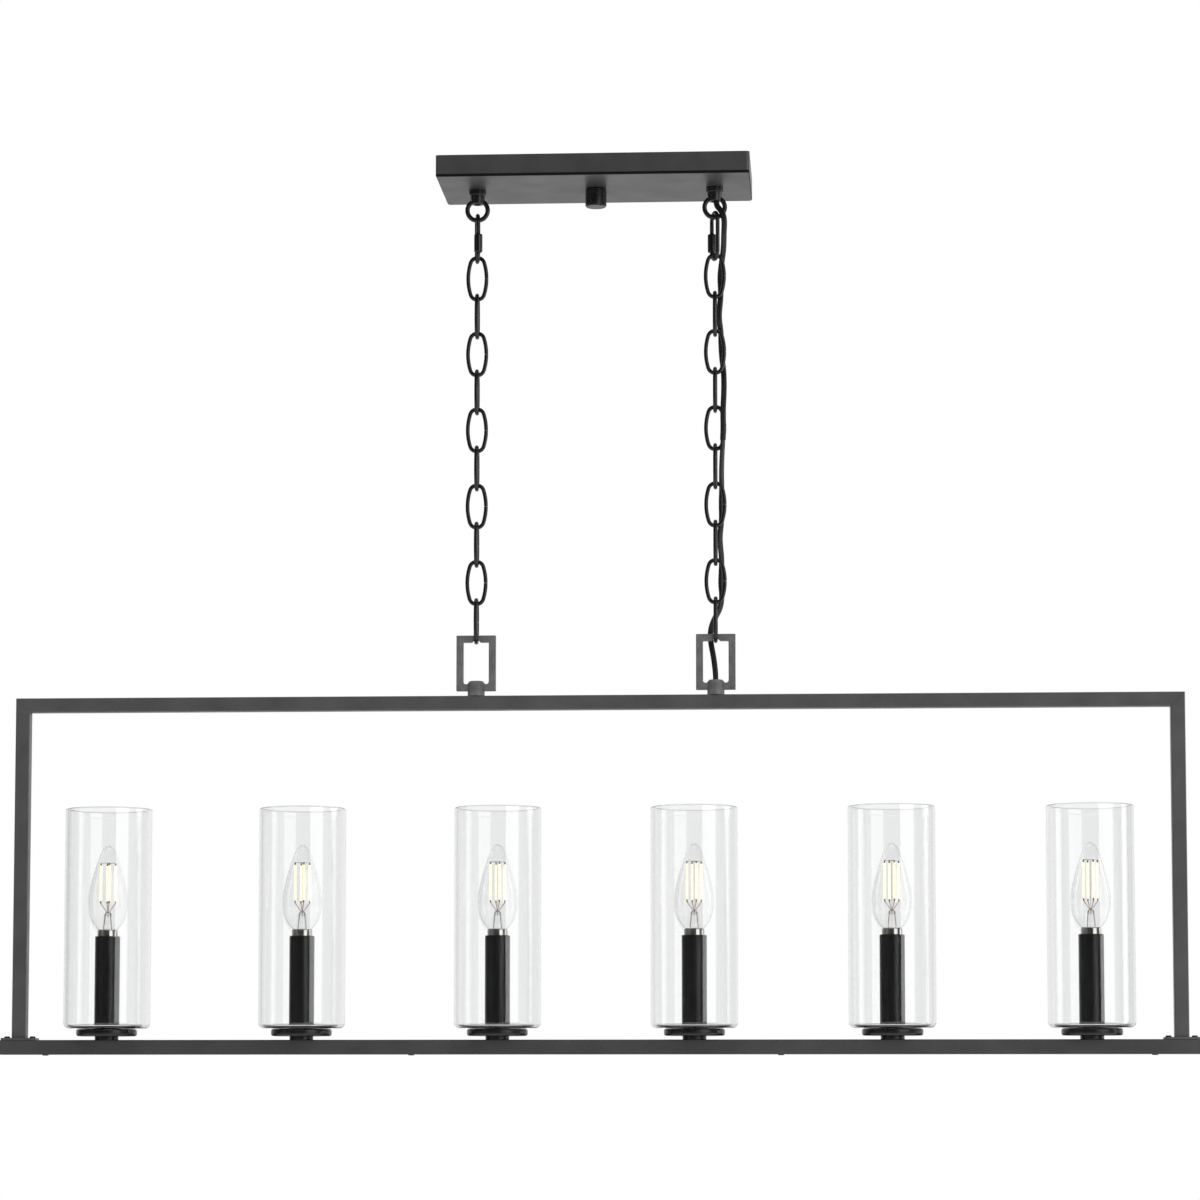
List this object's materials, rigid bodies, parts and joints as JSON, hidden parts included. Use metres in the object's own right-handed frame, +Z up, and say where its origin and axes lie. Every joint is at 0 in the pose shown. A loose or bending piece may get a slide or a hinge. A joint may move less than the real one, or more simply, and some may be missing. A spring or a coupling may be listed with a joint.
{
  "type": "linear island pendant",
  "caption": "Linear pendant: square-tube frame on two chains, with candle lamps in clear glass cylinders on a long bar and a rectangular ceiling canopy.",
  "frame": {"origin": "middle of the canopy where it meets the ceiling", "axes": "+Z up, +X along the pendant towards the chain that carries the cord, -Y the side it is seen from"},
  "size_m": [1.067, 0.1134, 0.8017],
  "materials": {
    "black_paint": "satin black powder coat on sheet steel",
    "black_casting": "satin black paint on castings",
    "black_chain": "black enamel on steel wire",
    "black_screw": "black oxide",
    "zinc_steel": "zinc plate",
    "green_screw": "green dyed zinc",
    "connector_plastic": "moulded nylon",
    "lead_insulation": "PVC insulation",
    "cord_jacket": "black PVC cord",
    "socket_plastic": "phenolic",
    "brass_shell": "rolled brass",
    "candle_black": "smooth black sleeve",
    "clear_glass": "clear soda-lime glass",
    "bulb_glass": "thin clear glass",
    "bulb_cap": "nickel plate"
  },
  "bodies": {
    "root": {"canopy_cover": "black_paint", "canopy_stiffener": "zinc_steel", "mounting_strap": "zinc_steel", "ground_screw": "green_screw", "strap_stud": "zinc_steel", "stud_nut": "zinc_steel", "loop_fasteners": "zinc_steel", "wire_connectors": "connector_plastic", "supply_leads": "lead_insulation", "canopy_loop_left": "black_casting", "canopy_loop_right": "black_casting"},
    "knob": {"canopy_knob": "black_casting"},
    "quick_link_right": {"quick_link_right": "black_chain"},
    "link_sleeve_right": {"link_sleeve_right": "black_chain"},
    "chain_right": {"chain_right": "black_chain", "supply_cord": "cord_jacket"},
    "end_link_right": {"end_link_right": "black_chain"},
    "quick_link_left": {"quick_link_left": "black_chain"},
    "link_sleeve_left": {"link_sleeve_left": "black_chain"},
    "chain_left": {"chain_left": "black_chain"},
    "end_link_left": {"end_link_left": "black_chain"},
    "frame": {"frame_loop_left": "black_casting", "frame_loop_right": "black_casting", "loop_nipples": "zinc_steel", "top_tube": "black_paint", "upright_left": "black_paint", "upright_right": "black_paint", "foot_plate_left": "black_paint", "foot_plate_right": "black_paint", "frame_screws": "black_screw", "bottom_bar": "black_paint", "bar_cover": "black_paint", "cover_bridges": "zinc_steel", "inner_wiring": "lead_insulation", "lamp_necks": "black_casting", "glass_holders": "black_casting", "lamp_nipples": "zinc_steel", "lamp_nuts": "zinc_steel", "socket_stems": "zinc_steel", "socket_bodies": "socket_plastic", "screw_shells": "brass_shell", "candle_sleeves": "candle_black"},
    "shade_1": {"glass_shade_1": "clear_glass"},
    "bulb_1": {"bulb_glass_1": "bulb_glass", "bulb_mount_1": "bulb_cap"},
    "shade_2": {"glass_shade_2": "clear_glass"},
    "bulb_2": {"bulb_glass_2": "bulb_glass", "bulb_mount_2": "bulb_cap"},
    "shade_3": {"glass_shade_3": "clear_glass"},
    "bulb_3": {"bulb_glass_3": "bulb_glass", "bulb_mount_3": "bulb_cap"},
    "shade_4": {"glass_shade_4": "clear_glass"},
    "bulb_4": {"bulb_glass_4": "bulb_glass", "bulb_mount_4": "bulb_cap"},
    "shade_5": {"glass_shade_5": "clear_glass"},
    "bulb_5": {"bulb_glass_5": "bulb_glass", "bulb_mount_5": "bulb_cap"},
    "shade_6": {"glass_shade_6": "clear_glass"},
    "bulb_6": {"bulb_glass_6": "bulb_glass", "bulb_mount_6": "bulb_cap"}
  },
  "joints": [
    {"name": "quick_link_right_swing", "type": "hinge", "parent": "root", "child": "quick_link_right", "pos_m": [0.1075, 0, -0.0471], "axis": [1, 0, 0], "range_deg": [-12, 12], "deforming": ["supply_cord"]},
    {"name": "chain_right_swing", "type": "hinge", "parent": "quick_link_right", "child": "chain_right", "pos_m": [0.1075, 0, -0.0853], "axis": [0, 1, 0], "range_deg": [-10, 10], "deforming": ["supply_cord"]},
    {"name": "end_link_right_swing", "type": "hinge", "parent": "chain_right", "child": "end_link_right", "pos_m": [0.1075, 0, -0.3937], "axis": [0, 1, 0], "range_deg": [-10, 10], "deforming": ["supply_cord"]},
    {"name": "quick_link_left_swing", "type": "hinge", "parent": "root", "child": "quick_link_left", "pos_m": [-0.1075, 0, -0.0471], "axis": [1, 0, 0], "range_deg": [-12, 12]},
    {"name": "chain_left_swing", "type": "hinge", "parent": "quick_link_left", "child": "chain_left", "pos_m": [-0.1075, 0, -0.0853], "axis": [0, 1, 0], "range_deg": [-10, 10]},
    {"name": "end_link_left_swing", "type": "hinge", "parent": "chain_left", "child": "end_link_left", "pos_m": [-0.1075, 0, -0.3937], "axis": [0, 1, 0], "range_deg": [-10, 10]},
    {"name": "frame_tilt", "type": "hinge", "parent": "end_link_right", "child": "frame", "pos_m": [0.1075, 0, -0.4259], "axis": [1, 0, 0], "range_deg": [-8, 8], "deforming": ["supply_cord"]},
    {"name": "knob_turn", "type": "hinge", "parent": "root", "child": "knob", "pos_m": [0, 0, -0.0196], "axis": [0, 0, 1], "continuous": true},
    {"name": "sleeve_right_slide", "type": "slide", "parent": "quick_link_right", "child": "link_sleeve_right", "axis": [0, 0, 1], "range_m": [0, 0.01]},
    {"name": "sleeve_left_slide", "type": "slide", "parent": "quick_link_left", "child": "link_sleeve_left", "axis": [0, 0, 1], "range_m": [0, 0.01]},
    {"name": "shade_1_lift", "type": "slide", "parent": "frame", "child": "shade_1", "axis": [0, 0, 1], "range_m": [0, 0.08]},
    {"name": "bulb_1_turn", "type": "hinge", "parent": "frame", "child": "bulb_1", "pos_m": [-0.4385, 0, -0.6953], "axis": [0, 0, 1], "continuous": true},
    {"name": "shade_2_lift", "type": "slide", "parent": "frame", "child": "shade_2", "axis": [0, 0, 1], "range_m": [0, 0.08]},
    {"name": "bulb_2_turn", "type": "hinge", "parent": "frame", "child": "bulb_2", "pos_m": [-0.2631, 0, -0.6953], "axis": [0, 0, 1], "continuous": true},
    {"name": "shade_3_lift", "type": "slide", "parent": "frame", "child": "shade_3", "axis": [0, 0, 1], "range_m": [0, 0.08]},
    {"name": "bulb_3_turn", "type": "hinge", "parent": "frame", "child": "bulb_3", "pos_m": [-0.0877, 0, -0.6953], "axis": [0, 0, 1], "continuous": true},
    {"name": "shade_4_lift", "type": "slide", "parent": "frame", "child": "shade_4", "axis": [0, 0, 1], "range_m": [0, 0.08]},
    {"name": "bulb_4_turn", "type": "hinge", "parent": "frame", "child": "bulb_4", "pos_m": [0.0877, 0, -0.6953], "axis": [0, 0, 1], "continuous": true},
    {"name": "shade_5_lift", "type": "slide", "parent": "frame", "child": "shade_5", "axis": [0, 0, 1], "range_m": [0, 0.08]},
    {"name": "bulb_5_turn", "type": "hinge", "parent": "frame", "child": "bulb_5", "pos_m": [0.2631, 0, -0.6953], "axis": [0, 0, 1], "continuous": true},
    {"name": "shade_6_lift", "type": "slide", "parent": "frame", "child": "shade_6", "axis": [0, 0, 1], "range_m": [0, 0.08]},
    {"name": "bulb_6_turn", "type": "hinge", "parent": "frame", "child": "bulb_6", "pos_m": [0.4385, 0, -0.6953], "axis": [0, 0, 1], "continuous": true}
  ],
  "couplings": [
    {"joint": "quick_link_left_swing", "follows": "quick_link_right_swing", "ratio": 1},
    {"joint": "chain_left_swing", "follows": "chain_right_swing", "ratio": 1},
    {"joint": "end_link_left_swing", "follows": "chain_right_swing", "ratio": -1},
    {"joint": "end_link_right_swing", "follows": "chain_right_swing", "ratio": -1}
  ]
}
